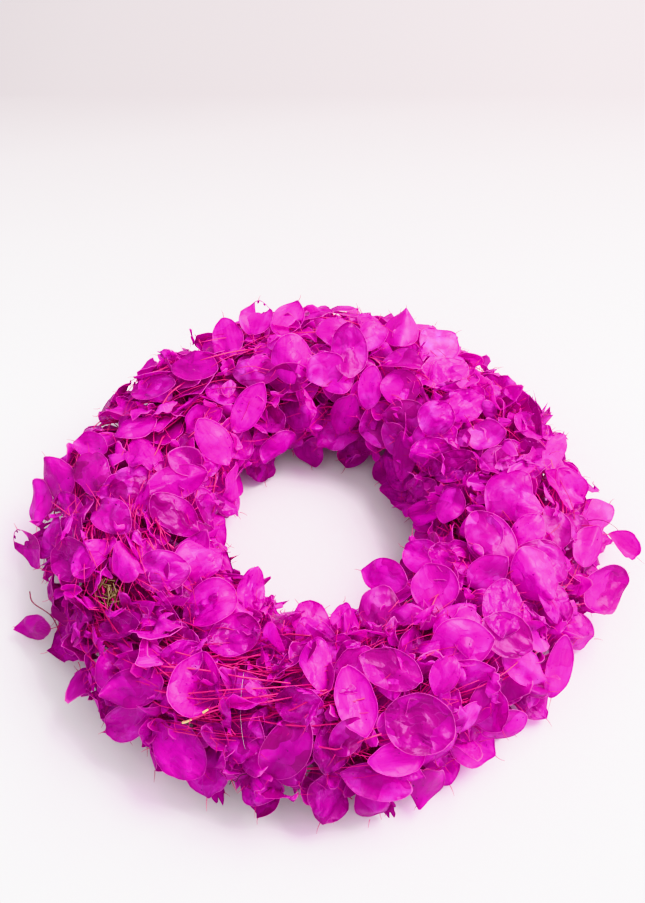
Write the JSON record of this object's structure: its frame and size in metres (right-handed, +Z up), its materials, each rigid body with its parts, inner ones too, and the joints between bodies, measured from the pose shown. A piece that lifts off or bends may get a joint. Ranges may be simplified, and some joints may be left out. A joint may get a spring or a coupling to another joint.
{
  "type": "lunaria wreath",
  "caption": "Round wreath of dyed lunaria: papery oval septa on thin stems, bound in bunches onto a hay ring, lying flat with an open middle.",
  "frame": {"origin": "under the middle of the wreath's box, on the surface that it lies on", "axes": "+Z up through the hole, out of the foliage's face; -Y is the side nearest to the picture's viewer"},
  "size_m": [0.371, 0.3454, 0.0804],
  "materials": {
    "septa": "dyed, satin, thin and translucent",
    "stems": "dyed dry stem, satin",
    "hay": "dry hay, matt",
    "thread": "clear nylon thread, glossy"
  },
  "bodies": {
    "root": {"hay_ring": "hay", "binding_thread": "thread", "bunch_01_stems": "stems", "bunch_01_septa": "septa", "bunch_02_stems": "stems", "bunch_02_septa": "septa", "bunch_03_stems": "stems", "bunch_03_septa": "septa", "bunch_04_stems": "stems", "bunch_04_septa": "septa", "bunch_05_stems": "stems", "bunch_05_septa": "septa", "bunch_06_stems": "stems", "bunch_06_septa": "septa", "bunch_07_stems": "stems", "bunch_07_septa": "septa", "bunch_08_stems": "stems", "bunch_08_septa": "septa", "bunch_09_stems": "stems", "bunch_09_septa": "septa", "bunch_10_stems": "stems", "bunch_10_septa": "septa", "bunch_11_stems": "stems", "bunch_11_septa": "septa", "bunch_12_stems": "stems", "bunch_12_septa": "septa", "bunch_13_stems": "stems", "bunch_13_septa": "septa", "bunch_14_stems": "stems", "bunch_14_septa": "septa"}
  },
  "joints": []
}
